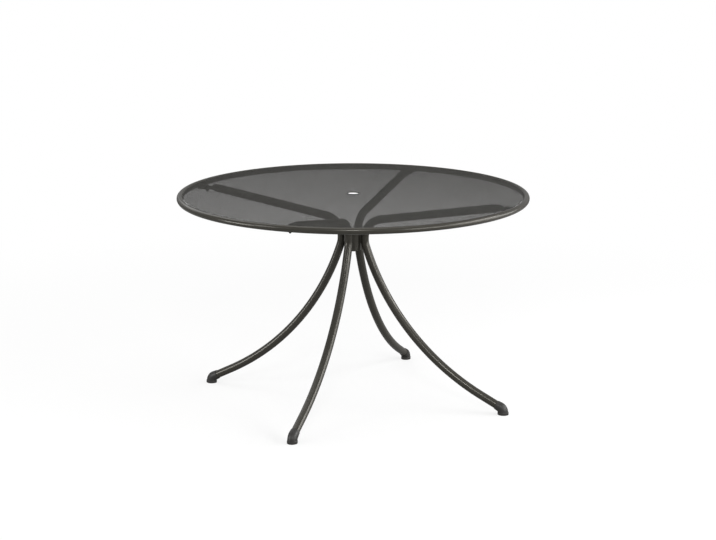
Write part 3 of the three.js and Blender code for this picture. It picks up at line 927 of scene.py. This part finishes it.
for number in range(1, legCount + 1):
    points, faces = tabSurface(tab)
    points = quarterTurn(points, number)
    replaced = [f"rim_tab_{number}"]
    meshPiece(f"tab_{number}", points, faces, steelCoat, "powder_coat_steel", replaced, sharpAngle=30)
    for name, surface in (("bolt", boltSurface), ("nut", nutSurface), ("washer", washerSurface)):
        points, faces = surface(fastener)
        points = quarterTurn(points, number)
        replaced = [f"arm_{name}_{number}"]
        meshPiece(f"{name}_{number}", points, faces, fastenerSteel, "dark_fastener", replaced, sharpAngle=25)
print("tabs and fasteners made")


# Welds

weld = {
    "sides": 12,
    "ripple": 0.09,
    "ripplePitch": 2.4,
    "leastEnd": 0.02,  # square of the bead's size at its very ends, as a share
    "sleeveBead": 2.6,
    "sleeveSunk": 0.55,  # how far a bead's middle lies off the metal, as a share of its radius
    "sleeveLow": 556,
    "sleeveHigh": 588,
    "hubReach": 80,  # the tube's path lies nearer to the axis than this beside the sleeve
    "sleeveStations": 60,
    "tabBead": 1.8,
    "tabSunk": 0.4,
    "tabStations": 50,
    "sheetBead": 1.1,
    "sheetSunk": 0.5,
    "sheetBeadLength": 9,
    "sheetBeadCount": 64,
    "sheetSides": 8,
    "sheetStations": 7,
}


def beadSurface(path, radius, values):
    # A circle carried along a path of points, swelling a little at each ripple and drawn in at both ends
    steps = np.linalg.norm(np.diff(path, axis=0), axis=1)
    run = np.concatenate([[0], np.cumsum(steps)])
    heading = np.gradient(path, axis=0)
    heading /= np.linalg.norm(heading, axis=1)[:, None]
    isUpright = np.abs(heading[:, 2:]) > sqrt(0.5)
    aside = np.cross(heading, np.where(isUpright, (1.0, 0, 0), (0, 0, 1.0)))
    aside /= np.linalg.norm(aside, axis=1)[:, None]
    above = np.cross(heading, aside)
    ends = np.minimum(run, run[-1] - run) / radius
    size = radius * np.sqrt(np.clip(1 - (1 - np.clip(ends, 0, 1)) ** 2, values["leastEnd"], 1))
    size = size * (1 + values["ripple"] * np.sin(run / values["ripplePitch"] * 2 * pi))
    turn = np.arange(values["sides"]) / values["sides"] * 2 * pi
    cosine, sine = np.cos(turn)[None, :, None], np.sin(turn)[None, :, None]
    around = aside[:, None, :] * cosine + above[:, None, :] * sine
    return tubeSurface(path[:, None, :] + around * size[:, None, None])


def levelArc(reach, halfTurn, level, stations, middle=0):
    # Points of an arc about the Z axis at one level, half its turn to each side of its middle
    angle = middle + np.linspace(-1, 1, stations) * halfTurn
    return np.stack([reach * np.cos(angle), reach * np.sin(angle), 0 * angle + level], axis=1)


def joined(surfaces):
    # Several closed surfaces as the points and faces of one piece
    points, quads, triangles, start = [], [], [], 0
    for surfacePoints, (faces, fans) in surfaces:
        points.append(surfacePoints)
        quads.append(faces + start)
        triangles.append(fans + start)
        start += len(surfacePoints)
    return np.concatenate(points), [np.concatenate(quads), np.concatenate(triangles)]


def sleeveBeads(values):
    # The bead lies where it touches both the sleeve and the tube beside it, at every height
    level = np.linspace(values["sleeveLow"], values["sleeveHigh"], values["sleeveStations"])
    order = np.argsort(tubePlaces[:, 1])
    nearHub = order[tubePlaces[order, 0] < values["hubReach"]]
    reach = np.interp(level, tubePlaces[nearHub, 1], tubePlaces[nearHub, 0])
    sunk = values["sleeveBead"] * values["sleeveSunk"]
    toSleeve, toTube = sleeveRadius + sunk, tubeRadius + sunk
    x = (reach ** 2 + toSleeve ** 2 - toTube ** 2) / (2 * reach)
    y = np.sqrt(np.maximum(toSleeve ** 2 - x ** 2, 0))
    paths = [np.stack([x, side * y, level], axis=1) for side in (1, -1)]
    return [beadSurface(path, values["sleeveBead"], values) for path in paths]


def tabBeads(values):
    # Along the corner between the tab and the ring's inner flank, above and below the tab
    made = []
    sunk = values["tabBead"] * values["tabSunk"]
    for level in (tabHigh[2] + sunk, tabLow[2] - sunk):
        reach = insideRing(level) - sunk
        halfTurn = (tabHigh[1] - values["tabBead"]) / reach
        path = levelArc(reach, halfTurn, level, values["tabStations"])
        made.append(beadSurface(path, values["tabBead"], values))
    return made


def sheetBeads(values):
    # Short welds at even turns, under the sheet where it meets the ring's inner flank
    sunk = values["sheetBead"] * values["sheetSunk"]
    level = sheetTop - sheet["thickness"] - sunk
    reach = insideRing(level) - sunk
    plain = dict(values, ripple=0, sides=values["sheetSides"])
    halfTurn = values["sheetBeadLength"] / 2 / reach
    made = []
    for number in range(values["sheetBeadCount"]):
        middle = (number + 0.5) / values["sheetBeadCount"] * 2 * pi
        path = levelArc(reach, halfTurn, level, values["sheetStations"], middle)
        made.append(beadSurface(path, values["sheetBead"], plain))
    return made


for number in range(1, legCount + 1):
    points, faces = joined(sleeveBeads(weld) + tabBeads(weld))
    points = quarterTurn(points, number)
    meshPiece(f"welds_{number}", points, faces, steelCoat, "powder_coat_steel", sharpAngle=60)
meshPiece("sheet_welds", *joined(sheetBeads(weld)), steelCoat, "powder_coat_steel", sharpAngle=60)
print("welds made")


# Floor, light and camera, in metres, watts and degrees

studio = {
    "floorSize": 120,
    "floorColour": (0.87, 0.87, 0.866),
    "bounceColour": (0.3, 0.3, 0.295),  # what the table gets back from the floor
    "nearGlow": 0.75,  # share of plain white in the floor as the camera sees it; the rest takes shadows
    "glowFrom": 0.8,
    "glowTo": 3.0,  # distance from which the floor is plain white
    "skyLight": 0.34,
    "mirroredFloor": 0.04,  # share of the floor's white in what the coat mirrors of it
    "mirroredSky": 0.03,  # the same for the backdrop
}
lamps = {
    "side_light": {"place": (3.30, 1.15, 1.00), "size": (4.0, 1.25), "power": 64},
    "high_side_light": {"place": (3.00, 0.80, 2.10), "size": (2.4, 0.7), "power": 56},
    "right_light": {"place": (3.40, -1.60, 1.30), "size": (1.6, 0.8), "power": 46},
    "overhead_light": {"place": (-0.55, 0.10, 3.20), "size": (1.8, 3.6), "power": 33},
    "front_light": {"place": (2.40, -6.10, 4.20), "size": (1.2, 0.9), "power": 142},
    "left_light": {"place": (-2.60, -2.20, 0.80), "size": (1.2, 0.8), "power": 33},
    "high_left_light": {"place": (-2.50, -3.60, 2.20), "size": (1.2, 1.0), "power": 32},
    "back_light": {"place": (-2.60, 1.40, 2.40), "size": (2.0, 1.6), "power": 13},
}
lampAim = (0, 0, 0.45)  # where all the lamps point
camera = {
    "frameWidth": 716,
    "focalPixels": 1927.138,
    "distance": 6.46305,
    "height": 1.9446,
    "azimuth": 21.218,
    "pitch": 12.951,
    "tableAxisPixel": 353.078,  # where the table's axis crosses the picture, from its left edge
    "sensor": 36,
    "farClip": 500,
}


def makeFloor(values):
    # The camera sees plain white with a share of the floor's own shade, which fades away with the distance
    # from the table. Mirrored rays see a part of it, the other rays get the bounce colour, and from below
    # the floor is clear.
    half = values["floorSize"] / 2
    mesh = bpy.data.meshes.new("floor")
    corners = [(-half, -half, 0), (half, -half, 0), (half, half, 0), (-half, half, 0)]
    mesh.from_pydata(corners, [], [(0, 1, 2, 3)])
    material, shader = newMaterial("studio_floor")
    cameraRay = shader.node("LightPath", output="Is Camera Ray")
    mirroredRay = shader.node("LightPath", output="Is Glossy Ray")
    seen = shader.maths("MAXIMUM", cameraRay, mirroredRay * values["mirroredFloor"])
    place = shader.node("TexCoord", output="Object")
    distance = shader.node("VectorMath", {"operation": "LENGTH"}, {0: place}, output="Value")
    glowShare = shader.node("MapRange", {"clamp": True, "interpolation_type": "SMOOTHSTEP"}, {
        "Value": distance, "From Min": values["glowFrom"], "From Max": values["glowTo"],
        "To Min": values["nearGlow"], "To Max": 1,
    })
    ownShade = shader.node("BsdfDiffuse", {}, {"Color": (*values["floorColour"], 1)})
    bounce = shader.node("BsdfDiffuse", {}, {"Color": (*values["bounceColour"], 1)})
    glow = shader.node("Emission", {}, {"Color": (1, 1, 1, 1), "Strength": 1})
    lit = shader.node("MixShader", {}, {0: glowShare, 1: ownShade, 2: glow})
    above = shader.node("MixShader", {}, {0: seen, 1: bounce, 2: lit})
    under = shader.node("NewGeometry", output="Backfacing")
    clear = shader.node("BsdfTransparent")
    finishMaterial(shader, shader.node("MixShader", {}, {0: under, 1: above, 2: clear}))
    mesh.materials.append(material)
    floor = bpy.data.objects.new("floor", mesh)
    bpy.context.scene.collection.objects.link(floor)


def makeWorld(values):
    # White for the camera and through clear things, and a share of that white for mirrored rays
    world = bpy.data.worlds.new("studio")
    world.use_nodes = True
    world.node_tree.nodes.clear()
    shader = Link(world.node_tree)
    cameraRay = shader.node("LightPath", output="Is Camera Ray")
    throughRay = shader.node("LightPath", output="Is Transmission Ray")
    mirroredRay = shader.node("LightPath", output="Is Glossy Ray")
    seen = shader.maths("MAXIMUM", cameraRay, throughRay)
    seen = shader.maths("MAXIMUM", seen, mirroredRay * values["mirroredSky"])
    light = shader.node("Background", {}, {"Color": (1, 1, 1, 1), "Strength": values["skyLight"]})
    white = shader.node("Background", {}, {"Color": (1, 1, 1, 1), "Strength": 1})
    shader.node("OutputWorld", {}, {"Surface": shader.node("MixShader", {}, {0: seen, 1: light, 2: white})})
    bpy.context.scene.world = world


def makeLamp(name, values):
    lamp = bpy.data.lights.new(name, "AREA")
    lamp.shape = "RECTANGLE"
    lamp.energy = values["power"]
    lamp.size, lamp.size_y = values["size"]
    light = bpy.data.objects.new(name, lamp)
    bpy.context.scene.collection.objects.link(light)
    light.location = values["place"]
    x, y, z = np.array(lampAim) - values["place"]
    light.rotation_euler = (atan2(hypot(x, y), -z), 0, atan2(-x, y))


def makeCamera(values):
    data = bpy.data.cameras.new("camera")
    data.sensor_width = values["sensor"]
    data.lens = values["focalPixels"] / values["frameWidth"] * values["sensor"]
    data.clip_end = values["farClip"]
    made = bpy.data.objects.new("camera", data)
    turn = radians(values["azimuth"])
    made.location = (values["distance"] * sin(turn), -values["distance"] * cos(turn), values["height"])
    yaw = turn - atan((values["frameWidth"] / 2 - values["tableAxisPixel"]) / values["focalPixels"])
    made.rotation_euler = (radians(90 - values["pitch"]), 0, yaw)
    bpy.context.scene.collection.objects.link(made)
    bpy.context.scene.camera = made


makeFloor(studio)
makeWorld(studio)
for name, values in lamps.items():
    makeLamp(name, values)
makeCamera(camera)
bpy.context.scene.view_settings.view_transform = "Standard"
print("studio made")
